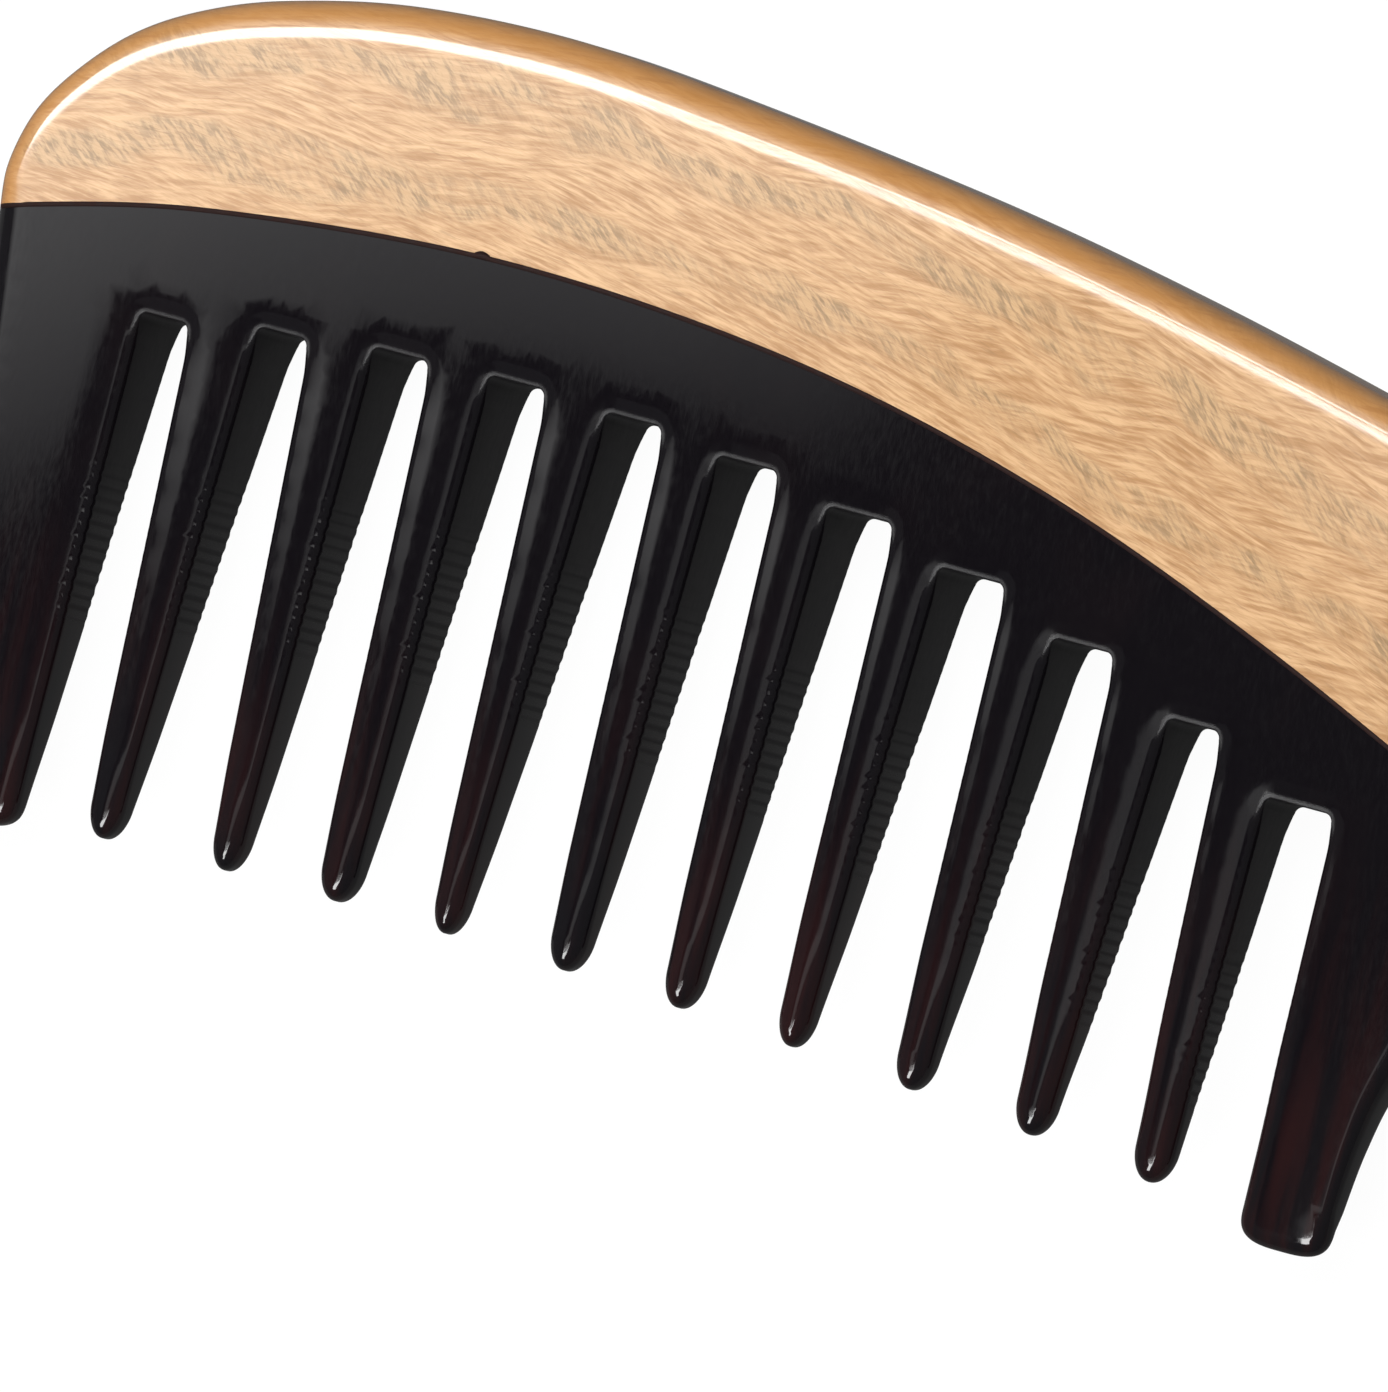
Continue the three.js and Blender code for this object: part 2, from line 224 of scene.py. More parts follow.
def direction(start, end):
    """The unit vector from one point to another."""
    return (end - start) / np.linalg.norm(end - start)


seam_line = spline(SEAM_POINTS)
into_seam_left = direction(seam_line[0], seam_line[1])
into_seam_right = direction(seam_line[-1], seam_line[-2])


def seam_height(x):
    return np.interp(x, seam_line[:, 0], seam_line[:, 1])


first_pin_x = sum(TEETH[FIRST_PIN_TOOTH - 1][:2]) / 2
pin_low, pin_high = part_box("dowel_pin_1")
pin_centre = (pin_low + pin_high) / 2
ORIGIN = np.array([first_pin_x * MM - pin_centre.x, seam_height(first_pin_x) * MM - pin_centre.y])
MID_Z = pin_centre.z


def place(x, y, z):
    """A shaping point, in millimetres, as a point of the frame, in metres."""
    return Vector((x * MM - ORIGIN[0], y * MM - ORIGIN[1], z * MM + MID_Z))


# ---------------------------------------------------------------- the comb's rim

def thickness(x, y):
    """A wedge that grows from the tips to the back, and evens out along the handle."""
    wedge = TIP_THICKNESS + THICKNESS_PER_MM * (y - TIP_THICKNESS_Y)
    blend = smoothstep(x, *HANDLE_BLEND)
    return wedge + (HANDLE_THICKNESS - wedge) * blend


def outer_radius(x, y):
    return thickness(x, y) / 2 * OUTER_EDGE_SHARE


def tooth_radius(x, y):
    share = smoothstep(y, *NOSE_EDGE_REACH)
    return NOSE_EDGE_RADIUS + (TOOTH_EDGE_RADIUS - NOSE_EDGE_RADIUS) * share


class Rim:
    """A stretch of outline: of the outer edge, of a tooth or of a gap's ceiling. It has the
    radius of its rounded edge, how far the rings of that edge reach in, how matt its wall is,
    and how much of that is kept all over the rounded edge."""

    def __init__(self, points, kind, groove=0.0):
        self.points = np.asarray(points, float)
        self.kind = kind
        x, y = self.points.T
        self.groove = np.full(len(x), groove)
        self.matt_depth = np.full(len(x), 1.0 if kind == "ceiling" else 0.0)
        if kind == "outer":
            self.radius = outer_radius(x, y)
        elif kind == "ceiling":
            self.radius = np.full(len(x), CEILING_EDGE_RADIUS)
        else:
            self.radius = tooth_radius(x, y)
        self.reach = self.radius.copy()
        if kind == "tooth":
            self.reach = np.minimum(self.radius, TOOTH_RING_REACH)


def nose_line(index):
    """The rounded end of a tooth, from its left flank to its right flank."""
    _, _, left, right = TEETH[index]
    is_end = index in (0, len(TEETH) - 1)
    power = 2 / (END_TOOTH_SQUARENESS if is_end else 2)
    middle = (left + right) / 2
    tip = TIP_LINE_TOP - (middle - TIP_LINE_X) ** 2 / (2 * TIP_LINE_RADIUS)
    if is_end:
        tip -= END_TOOTH_EXTRA
    angle = np.linspace(0, math.pi, NOSE_SAMPLES)
    across = np.cos(angle)
    x = middle - (right - left) / 2 * np.sign(across) * np.abs(across) ** power
    y = tip + NOSE_LENGTH * (1 - np.sin(angle) ** power)
    return respaced(np.column_stack([x, y]), NOSE_STEP)


def ceiling_line(left, right):
    """The top of a gap, from left to right, with small rounded corners."""
    y = seam_height((left + right) / 2) - LAND_HEIGHT
    start = (left, y - CEILING_CORNER_RADIUS)
    corner = clockwise_arc(start, CEILING_CORNER_RADIUS, (math.pi / 2, 0), CEILING_CORNER_STEPS)
    far_corner = np.column_stack([left + right - corner[:, 0], corner[:, 1]])[::-1]
    top = respaced([corner[-1], far_corner[0]], FINE_STEP)
    return np.vstack([corner, top[1:-1], far_corner])


def sawn_flank(low, high, top_y, is_right_flank):
    """A flank between a nose and a ceiling, scored by the saw and matt in its upper part."""
    line = respaced([low, high], FINE_STEP)
    below = top_y - line[:, 1]
    above_end = 1 - smoothstep(below, SAW_TO, SAW_TO + SAW_FADE)
    deep = smoothstep(below, SAW_FROM, SAW_FROM + SAW_FADE) * above_end
    faint = smoothstep(below, *SAW_FAINT_FADE) * above_end
    depth = SAW_DEPTH * deep + SAW_FAINT_DEPTH * faint
    wobble = sum(size * np.sin(below * rate + shift * low[0]) for size, rate, shift in SAW_WOBBLES)
    groove = (1 - np.cos(2 * math.pi * below / SAW_PITCH + wobble)) / 2
    into_tooth = -1 if is_right_flank else 1
    line[:, 0] += into_tooth * depth * groove * (1.0 if is_right_flank else LEFT_FLANK_SHARE)
    score = groove * np.clip(deep + SAW_FAINT_SCORE * faint, 0, 1)
    score = np.maximum(score, MATT_FLANK * (1 - smoothstep(below, SAW_FROM, SAW_TO)))
    rim = Rim(line[1:-1], "tooth", score[1:-1])
    near_ceiling = 1 - smoothstep(below[1:-1], 0, CEILING_BLEND)
    rim.matt_depth = near_ceiling
    rim.groove = np.maximum(rim.groove, MATT_CEILING * near_ceiling)
    rim.radius += (CEILING_EDGE_RADIUS - rim.radius) * near_ceiling
    rim.reach = np.minimum(rim.reach, rim.radius)
    return rim


def tooth_rims():
    """The rim from the first nose to the last nose, left to right."""
    rims = []
    noses = [nose_line(i) for i in range(len(TEETH))]
    for i, nose in enumerate(noses):
        rims.append(Rim(nose, "tooth"))
        if i + 1 < len(TEETH):
            ceiling = ceiling_line(TEETH[i][1], TEETH[i + 1][0])
            top_y = ceiling[len(ceiling) // 2][1]
            rise = sawn_flank(nose[-1], ceiling[0], top_y, True)
            fall = sawn_flank(ceiling[-1], noses[i + 1][0], top_y, False)
            rims += [rise, Rim(ceiling, "ceiling", MATT_CEILING), fall]
    return rims


def wood_rims():
    """The outer rim of the wood, from the notch round the handle and the back to the closed end."""
    notch = clockwise_arc(seam_line[-1], NOTCH_RADIUS, NOTCH_HEADINGS, NOTCH_STEPS)
    back = respaced(spline([*BACK_POINTS, tuple(notch[-1])]), COARSE_STEP)
    return [Rim(notch[1:-1], "outer"), Rim(back[::-1][:-1], "outer")]


left_edge = respaced([seam_line[0], nose_line(0)[0]], COARSE_STEP)
right_edge = respaced(spline(LAST_TOOTH_EDGE), COARSE_STEP)
horn_rims = [Rim(left_edge[1:-1], "outer"), *tooth_rims(), Rim(right_edge[1:-1], "outer")]
back_rims = wood_rims()
left_corner = Rim(seam_line[:1], "outer")
right_corner = Rim(seam_line[-1:], "outer")
whole_rim = [right_corner, *back_rims, left_corner, *horn_rims]


# ---------------------------------------------------------------- the height of the faces

def search_tree(points):
    """A tree that finds the nearest of the points in the plane."""
    tree = KDTree(len(points))
    for i, (x, y) in enumerate(points):
        tree.insert((x, y, 0), i)
    tree.balance()
    return tree


class Falloff:
    """A soft field round the gaps: 1 on a long straight edge, and fading over a width."""

    def __init__(self, rims, width, weight):
        points = np.vstack([r.points for r in rims])
        length = np.linalg.norm(np.gradient(points, axis=0), axis=1)
        length[length > LONGEST_STEP] = FINE_STEP  # where one rim ends and the next begins
        self.low = points.min(0) - CROWN_REACH * width
        counts = np.ceil((points.max(0) + CROWN_REACH * width - self.low) / CROWN_CELL).astype(int)
        self.field = np.zeros(counts)
        cell = ((points - self.low) / CROWN_CELL).astype(int)
        np.add.at(self.field, tuple(cell.T), weight * length / (width * math.sqrt(2 * math.pi)))
        reach = int(CROWN_REACH * width / CROWN_CELL)
        kernel = np.exp(-0.5 * (np.arange(-reach, reach + 1) * CROWN_CELL / width) ** 2)
        for axis in (0, 1):
            self.field = np.apply_along_axis(np.convolve, axis, self.field, kernel, "same")

    def at(self, xy):
        """The field at any place, between the middles of its cells."""
        where = (xy - self.low) / CROWN_CELL - 0.5
        where = np.clip(where, 0, np.array(self.field.shape) - 1.001)  # keeps i + 1 in the field
        i, j = where.astype(int).T
        s, t = (where - where.astype(int)).T
        near = self.field[i, j] * (1 - t) + self.field[i, j + 1] * t
        far = self.field[i + 1, j] * (1 - t) + self.field[i + 1, j + 1] * t
        return near * (1 - s) + far * s


class Faces:
    """The comb's face as a height above the mid-plane, from the distance to its rim."""

    def __init__(self, rims):
        self.points = np.vstack([r.points for r in rims])
        self.radius = np.concatenate([r.radius for r in rims])
        gap_rims = [r for r in rims if r.kind != "outer"]
        flanks = [r for r in rims if r.kind == "tooth"]
        below_ceiling = np.concatenate([1 - r.matt_depth for r in flanks])
        self.crowns = [
            (GAP_CROWN, Falloff(gap_rims, GAP_CROWN_WIDTH, 1.0)),
            (TOOTH_CROWN, Falloff(flanks, TOOTH_CROWN_WIDTH, below_ceiling)),
        ]
        self.tree = search_tree(self.points)

    def nearest(self, xy):
        """Distance to the rim, and the edge radius there."""
        close = np.array([self.tree.find((x, y, 0))[1] for x, y in xy])
        best = np.full(len(xy), np.inf)
        radius = np.zeros(len(xy))
        count = len(self.points)
        for offset in (-1, 0):
            i = (close + offset) % count
            j = (i + 1) % count
            a, b = self.points[i], self.points[j]
            span = b - a
            t = np.clip(((xy - a) * span).sum(1) / np.maximum((span**2).sum(1), TINY), 0, 1)
            d = np.linalg.norm(xy - a - span * t[:, None], axis=1)
            better = d < best
            best = np.where(better, d, best)
            radius = np.where(better, self.radius[i] * (1 - t) + self.radius[j] * t, radius)
        return best, radius

    def snapped(self, xy):
        """The nearest point of the rim."""
        i = self.tree.find((*xy, 0))[1]
        best = None
        for j in (i - 1, i):
            a = self.points[j]
            span = self.points[(j + 1) % len(self.points)] - a
            foot = a + span * np.clip(((xy - a) @ span) / (span @ span), 0, 1)
            if best is None or np.linalg.norm(foot - xy) < np.linalg.norm(best - xy):
                best = foot
        return best

    def height(self, xy):
        """Height of the face, and distance to the rim."""
        d, radius = self.nearest(xy)
        x, y = xy.T
        half = thickness(x, y) / 2
        left = np.clip(radius - d, 0, None)
        rounding = radius - np.sqrt(np.clip(radius**2 - left**2, 0, None))
        crown = sum(depth * falloff.at(xy) for depth, falloff in self.crowns)
        on_handle = smoothstep(x, *HANDLE_BLEND)
        crown += HANDLE_CROWN * on_handle * np.clip(1 - d / HANDLE_CROWN_WIDTH, 0, 1) ** 2
        room = CROWN_ROOM * (half - radius) + d
        return half - rounding - crown / (1 + crown / room), d


faces = Faces(whole_rim)


# ---------------------------------------------------------------- meshes

def in_scene(name, data):
    """A new object of the scene."""
    obj = bpy.data.objects.new(name, data)
    bpy.context.scene.collection.objects.link(obj)
    return obj


def meshed(name, bm):
    """Turns the mesh that was built into an object of the scene."""
    mesh = bpy.data.meshes.new(name)
    bm.to_mesh(mesh)
    bm.free()
    return in_scene(name, mesh)


def meshed_smooth(name, bm):
    for face in bm.faces:
        face.smooth = True
    return meshed(name, bm)


def inward_directions(points):
    """Directions square to a closed outline, which runs counter-clockwise."""
    after = np.roll(points, -1, axis=0) - points
    before = points - np.roll(points, 1, axis=0)
    after /= np.linalg.norm(after, axis=1)[:, None]
    before /= np.linalg.norm(before, axis=1)[:, None]
    tangent = after + before
    tangent /= np.linalg.norm(tangent, axis=1)[:, None]
    return np.column_stack([-tangent[:, 1], tangent[:, 0]])


def turned_towards(inward, points, corner, heading):
    """Inward directions that swing to the seam's heading near one of its ends."""
    d = np.linalg.norm(points - corner, axis=1)
    share = (1 - smoothstep(d, 0, SEAM_SWING))[:, None]
    mixed = inward * (1 - share) + heading * share
    return mixed / np.linalg.norm(mixed, axis=1)[:, None]


def seam_rim(line):
    """The seam as a stretch of rim. Its wall meets the faces at a sharp edge, but at its two ends
    it keeps the outer edge's radius."""
    x, y = line.T
    clear = outer_radius(x, y) * SEAM_CLEARANCE
    keep = (x > x.min() + clear) & (x < x.max() - clear)
    keep[0] = keep[-1] = True
    line = line[keep]
    for end in (0, -1):
        line[end] = faces.snapped(line[end])
    seam = Rim(line, "outer")
    seam.radius[1:-1] = 0
    seam.reach[1:-1] = 0
    return seam


class Outline:
    """The closed outline of a piece: first the points of the seam, then those of its rims."""

    def __init__(self, seam, rims, seam_runs_right):
        stretches = [seam, *rims]
        self.seam_count = len(seam.points)
        self.points = np.vstack([r.points for r in stretches])
        self.radius = np.concatenate([r.radius for r in stretches])
        self.reach = np.concatenate([r.reach for r in stretches])
        self.groove = np.concatenate([r.groove for r in stretches])
        self.matt_depth = np.concatenate([r.matt_depth for r in stretches])
        self.inward = inward_directions(self.points)
        last = self.seam_count - 1
        is_rim = np.arange(len(self.points)) > last
        for end in (0, last):
            at_left = (end == 0) == seam_runs_right
            heading = into_seam_left if at_left else into_seam_right
            swung = turned_towards(self.inward, self.points, self.points[end], heading)
            self.inward = np.where(is_rim[:, None], swung, self.inward)
            self.inward[end] = heading

    def rings(self, ring_count):
        """The outline, set in step by step over its rounded edge."""
        last_angle = np.arccos(np.clip(1 - self.reach / np.maximum(self.radius, TINY), 0, 1))
        rings = []
        for k in range(ring_count):
            inset = self.radius * (1 - np.cos(last_angle * k / (ring_count - 1)))
            rings.append(self.points + self.inward * inset[:, None])
        return rings

    def ring_groove(self, ring_count):
        """How matt each point of each ring is."""
        fading = [np.maximum(1 - k / MATT_RINGS, self.matt_depth) for k in range(ring_count)]
        return np.concatenate([self.groove * share for share in fading])


def inside(polygon, xy):
    """Which of the points lie inside a closed outline."""
    x, y = xy.T
    hit = np.zeros(len(xy), bool)
    for (ax, ay), (bx, by) in zip(polygon, np.roll(polygon, -1, axis=0)):
        if ay == by:
            continue
        crosses = (ay > y) != (by > y)
        hit ^= crosses & (x < ax + (y - ay) * (bx - ax) / (by - ay))
    return hit


def offset_rows(outline, rows):
    """Points set in from an outline row by row, where nothing else of the rim is nearer."""
    kept = []
    for inset, stride in rows:
        row = outline.points[::stride] + outline.inward[::stride] * inset
        d = faces.nearest(row)[0]
        kept.append(row[d > inset * ROW_SHARE - ROW_SLACK])
    return np.vstack(kept)


def thinned(points, spacing):
    """The points, without those closer to an earlier one than the spacing at that place."""
    kept = []
    cells = {}
    for (x, y), gap in zip(points, spacing):
        cell = (int(x // THINNING_CELL), int(y // THINNING_CELL))
        near = [
            q for i in (-1, 0, 1) for j in (-1, 0, 1)
            for q in cells.get((cell[0] + i, cell[1] + j), ())
        ]
        if all((x - a) ** 2 + (y - b) ** 2 > gap * gap for a, b in near):
            kept.append((x, y))
            cells.setdefault(cell, []).append((x, y))
    return np.array(kept)


def face_points(outline, rows, growth, grid):
    """Points for the inside of a face: rows along the rim, then a grid."""
    offset = offset_rows(outline, rows)
    low, high = outline.points.min(0), outline.points.max(0)
    gx, gy = np.meshgrid(np.arange(low[0], high[0], grid), np.arange(low[1], high[1], grid))
    gx[::2] += grid / 2
    cells = np.column_stack([gx.ravel(), gy.ravel()])
    cells = cells[inside(outline.points, cells)]
    last_inset = rows[-1][0]
    cells = cells[faces.nearest(cells)[0] > last_inset]
    everything = np.vstack([offset, cells])
    d = faces.nearest(everything)[0]
    return thinned(everything, np.clip(growth * d, LEAST_SPACING, grid * GRID_SPACING))


def triangulated(inner_rim, inner):
    """Triangles that fill the innermost ring: their points, the place of each in the ring if it
    has one, and the triangles."""
    inner = inner[inside(inner_rim, inner)]
    tree = search_tree(inner_rim)
    clear = [tree.find((x, y, 0))[2] for x, y in inner]
    inner = inner[np.array(clear) > RING_CLEARANCE]
    coords = [Vector(p) for p in np.vstack([inner_rim, inner])]
    ring = [list(range(len(inner_rim)))]
    points, _, triangles, sources, _, _ = delaunay_2d_cdt(coords, [], ring, 1, TRIANGLE_TOLERANCE)
    in_ring = [
        from_points[0] if from_points and from_points[0] < len(inner_rim) else None
        for from_points in sources
    ]
    return np.array([tuple(p) for p in points]), in_ring, triangles


def plate(name, outline, inner, ring_count):
    """A plate between the two faces: rings of quads round its edge, and triangles within."""
    count = len(outline.points)
    rings = outline.rings(ring_count)
    cap_xy, in_ring, triangles = triangulated(rings[-1], inner)
    ring_xy = np.vstack(rings)
    ring_z, ring_d = faces.height(ring_xy)
    cap_z, cap_d = faces.height(cap_xy)
    ring_groove = outline.ring_groove(ring_count)

    bm = bmesh.new()
    edge_layer = bm.verts.layers.float.new("edge_mm")
    groove_layer = bm.verts.layers.float.new("groove")
    edges_of_faces = []
    for side in (1, -1):
        ring_verts = []
        for (x, y), z, d, g in zip(ring_xy, ring_z, ring_d, ring_groove):
            v = bm.verts.new(place(x, y, side * z))
            v[edge_layer] = d
            v[groove_layer] = g
            ring_verts.append(v)
        innermost = ring_verts[-count:]
        cap_verts = []
        for (x, y), z, d, ring_place in zip(cap_xy, cap_z, cap_d, in_ring):
            if ring_place is not None:
                cap_verts.append(innermost[ring_place])
            else:
                v = bm.verts.new(place(x, y, side * z))
                v[edge_layer] = d
                cap_verts.append(v)
        for triangle in triangles:
            verts = [cap_verts[i] for i in triangle]
            bm.faces.new(verts if side > 0 else verts[::-1])
        for k in range(ring_count - 1):
            for i in range(count):
                j = (i + 1) % count
                quad = [ring_verts[k * count + i], ring_verts[k * count + j],
                        ring_verts[(k + 1) * count + j], ring_verts[(k + 1) * count + i]]
                face = bm.faces.new(quad if side > 0 else quad[::-1])
                face.material_index = int(i < outline.seam_count - 1)
        edges_of_faces.append(ring_verts[:count])
    top, bottom = edges_of_faces
    for i in range(count):
        j = (i + 1) % count
        wall = bm.faces.new([bottom[i], bottom[j], top[j], top[i]])
        wall.material_index = int(i < outline.seam_count - 1)
    bmesh.ops.remove_doubles(bm, verts=bm.verts, dist=MERGE_DISTANCE)
    bmesh.ops.dissolve_degenerate(bm, edges=bm.edges, dist=SLIVER_LENGTH)
    bmesh.ops.recalc_face_normals(bm, faces=bm.faces)
    sharpen_seam(bm)
    obj = meshed_smooth(name, bm)
    use_true_normals(obj.data)
    return obj


def sharpen_seam(bm):
    """Makes the edges of the seam's wall sharp. Until here its faces had a material index of 1."""
    for edge in bm.edges:
        edge.smooth = len({face.material_index for face in edge.link_faces}) == 1
    for face in bm.faces:
        face.material_index = 0


def use_true_normals(mesh):
    """Shades a plate by the slope of its faces, so that its triangles don't show in reflections.
    A zero normal leaves a corner as it is: on the walls, and where the rounding is upright."""
    points = np.zeros(len(mesh.vertices) * 3)
    mesh.vertices.foreach_get("co", points)
    points = points.reshape(-1, 3)
    xy = (points[:, :2] + ORIGIN) / MM
    side = np.sign(points[:, 2] - MID_Z)
    slopes = []
    for step in ((NORMAL_STEP, 0), (0, NORMAL_STEP)):
        rise = faces.height(xy + np.array(step))[0] - faces.height(xy - np.array(step))[0]
        slopes.append(rise / (2 * NORMAL_STEP))
    normals = np.column_stack([-slopes[0], -slopes[1], side])
    normals /= np.linalg.norm(normals, axis=1)[:, None]
    normals[faces.nearest(xy)[0] < UPRIGHT_BELOW] = 0
    corner_normals = []
    for face in mesh.polygons:
        is_wall = abs(face.normal.z) < WALL_NORMAL_Z
        for vertex in face.vertices:
            corner_normals.append((0, 0, 0) if is_wall else tuple(normals[vertex]))
    mesh.normals_split_custom_set(corner_normals)


def shifted(line, dy):
    """The line, moved up in y."""
    return line + np.array([0, dy])


def make_wooden_back():
    seam = seam_rim(shifted(respaced(seam_line, COARSE_STEP), SEAM_HALF_GAP))
    outline = Outline(seam, back_rims, True)
    inner = face_points(outline, WOOD_ROWS, WOOD_SPACING_GROWTH, WOOD_GRID)
    return plate("wooden_back_fine", outline, inner, WOOD_RINGS)


def make_horn_plate():
    seam = seam_rim(shifted(respaced(seam_line, COARSE_STEP), -SEAM_HALF_GAP)[::-1])
    outline = Outline(seam, horn_rims, False)
    inner = face_points(outline, HORN_ROWS, HORN_SPACING_GROWTH, HORN_GRID)
    return plate("horn_tooth_plate_fine", outline, inner, HORN_RINGS)


def make_glue_line():
    """The film that fills the seam, with the bead on the side of the wood."""
    line = respaced(seam_line, GLUE_STEP)
    tangent = np.gradient(line, axis=0)
    tangent /= np.linalg.norm(tangent, axis=1)[:, None]
    normal = np.column_stack([-tangent[:, 1], tangent[:, 0]])
    bead = np.exp(-((line[:, 0] - GLUE_BEAD_X) / GLUE_BEAD_WIDTH) ** 2)
    bm = bmesh.new()
    face_z = faces.height(line)[0]
    sections = []
    for i in range(len(line)):
        crown = GLUE_BEAD_RISE * bead[i] - GLUE_DIP
        section = []
        for across, spread, rise in (
            (-1, 0, -GLUE_DIP), (0, 0, crown), (1, GLUE_BEAD_SPREAD, crown), (1, 0, -2 * GLUE_DIP)
        ):
            x, y = line[i] + normal[i] * (across * SEAM_HALF_GAP + spread * bead[i])
            section.append((x, y, face_z[i] + rise))
        mirrored = [(x, y, -z) for x, y, z in section[::-1]]
        sections.append([bm.verts.new(place(*p)) for p in section + mirrored])
    size = len(sections[0])
    for a, b in zip(sections, sections[1:]):
        for k in range(size):
            m = (k + 1) % size
            bm.faces.new([a[k], a[m], b[m], b[k]])
    bm.faces.new(sections[0][::-1])
    bm.faces.new(sections[-1])
    bmesh.ops.recalc_face_normals(bm, faces=bm.faces)
    return meshed_smooth("glue_line_fine", bm)


# ---------------------------------------------------------------- materials

class Nodes:
    """The nodes of a material or a world, built one call at a time."""

    def __init__(self, tree):
        self.tree = tree

    def feed(self, socket, value):
        if isinstance(value, bpy.types.NodeSocket):
            self.tree.links.new(value, socket)
        elif value is not None:
            socket.default_value = value

    def math(self, operation, a, b=None, c=None):
        node = self.tree.nodes.new("ShaderNodeMath")
        node.operation = operation
        for socket, value in zip(node.inputs, (a, b, c)):
            self.feed(socket, value)
        return node.outputs[0]

    def fade(self, value, low, high, start=0.0, end=1.0):
        """A smooth change from start, up to low, to end, from high on."""
        node = self.tree.nodes.new("ShaderNodeMapRange")
        node.interpolation_type = "SMOOTHSTEP"
        for socket, number in zip(node.inputs, (value, low, high, start, end)):
            self.feed(socket, number)
        return node.outputs[0]

    def own_position(self):
        """Object coordinates, in metres."""
        split = self.tree.nodes.new("ShaderNodeSeparateXYZ")
        where = self.tree.nodes.new("ShaderNodeTexCoord").outputs["Object"]
        self.feed(split.inputs[0], where)
        return split.outputs[0], split.outputs[1], split.outputs[2]

    def seen_by_camera(self, reflected, seen):
        """One strength in reflections, and one where the camera looks."""
        is_camera_ray = self.tree.nodes.new("ShaderNodeLightPath").outputs["Is Camera Ray"]
        return self.fade(is_camera_ray, 0, 1, reflected, seen)


class Shader(Nodes):
    """The nodes of a material round its Principled shader."""

    def __init__(self, name):
        self.material = bpy.data.materials.new(name)
        self.material.use_nodes = True
        super().__init__(self.material.node_tree)
        self.surface = self.tree.nodes["Principled BSDF"]

    def position(self):
        """Object coordinates in shaping millimetres: x, y, z."""
        own = self.own_position()
        shift = (ORIGIN[0], ORIGIN[1], -MID_Z)
        return tuple(self.math("MULTIPLY_ADD", a, 1 / MM, b / MM) for a, b in zip(own, shift))

    def vector(self, x, y, z):
        node = self.tree.nodes.new("ShaderNodeCombineXYZ")
        for socket, value in zip(node.inputs, (x, y, z)):
            self.feed(socket, value)
        return node.outputs[0]

    def noise(self, place_xyz, cells_xyz, detail=3.0, roughness=0.55):
        """Noise with so many cells to a millimetre along each axis."""
        scaled = [self.math("MULTIPLY", p, cells) for p, cells in zip(place_xyz, cells_xyz)]
        node = self.tree.nodes.new("ShaderNodeTexNoise")
        self.feed(node.inputs["Vector"], self.vector(*scaled))
        node.inputs["Scale"].default_value = 1.0
        node.inputs["Detail"].default_value = detail
        node.inputs["Roughness"].default_value = roughness
        return node.outputs["Fac"]

    def mix(self, share, a, b):
        """Colour a, going over to colour b as the share rises to 1."""
        node = self.tree.nodes.new("ShaderNodeMix")
        node.data_type = "RGBA"
        self.feed(node.inputs[0], share)
        self.feed(node.inputs[6], a)
        self.feed(node.inputs[7], b)
        return node.outputs[2]

    def attribute(self, name):
        node = self.tree.nodes.new("ShaderNodeAttribute")
        node.attribute_name = name
        return node.outputs["Fac"]

    def bump(self, height, distance, strength):
        """Makes the surface rough by a distance in millimetres."""
        node = self.tree.nodes.new("ShaderNodeBump")
        node.inputs["Strength"].default_value = strength
        node.inputs["Distance"].default_value = distance * MM
        self.feed(node.inputs["Height"], height)
        self.feed(self.surface.inputs["Normal"], node.outputs[0])

    def set(self, **values):
        """Sets the shader's sockets, written with underscores."""
        for name, value in values.items():
            self.feed(self.surface.inputs[name.replace("_", " ")], value)


def colour(red, green, blue):
    """A linear colour from 8-bit sRGB."""
    def linear(c):
        c /= 255
        return c / 12.92 if c <= 0.04045 else ((c + 0.055) / 1.055) ** 2.4
    return (linear(red), linear(green), linear(blue), 1.0)


# The grain follows the arch of the back, and runs straight down the handle
ARCH_TOP_X = 32.6
ARCH_CURVE = 0.00343
ARCH_STRAIGHT_FROM = 43.4  # past the top of the arch
ARCH_SLOPE = 2 * ARCH_CURVE * ARCH_STRAIGHT_FROM
GRAIN_FOLLOWS_ARCH = 0.45
GRAIN_SWAY = 1.2
FLAT_GRAIN = math.radians(7)
MIDDLE_GRAIN = math.radians(-9)
STEEP_GRAIN = math.radians(-38)
STROKE_ROUGHNESS = 0.6

# Bands of steep grain
BAND_WIDTH = 6.2  # from one to the next
BAND_PLACE = 46.3  # of one of them, as the height at the top of the arch
BAND_DRIFT = 7.0
BAND_SHARE = 0.8

# Wood: the flat golden strokes, the steep olive ones, the pores, and the rounded rim, whose darker gold
# is partly the wood's own and partly painted shade where the edge turns away, with painted shade along
# its outermost edge
GOLD_DARK = colour(154, 111, 65)
GOLD_LIGHT = colour(193, 155, 111)
OLIVE_DARK = colour(124, 99, 66)
OLIVE_LIGHT = colour(179, 144, 101)
PORES = colour(126, 92, 56)
# The next two colours are partly the wood's own darker edge and partly painted shade of the rounded
# edge turning away from the light
RIM_GOLD_AND_PAINTED_SHADE = colour(176, 120, 56)
RIM_STROKES_AND_PAINTED_SHADE = colour(152, 99, 46)
# Painted shade along the outermost rim, where the rounded edge turns away from the light
PAINTED_SHADE_OUTERMOST_RIM = colour(130, 100, 66)

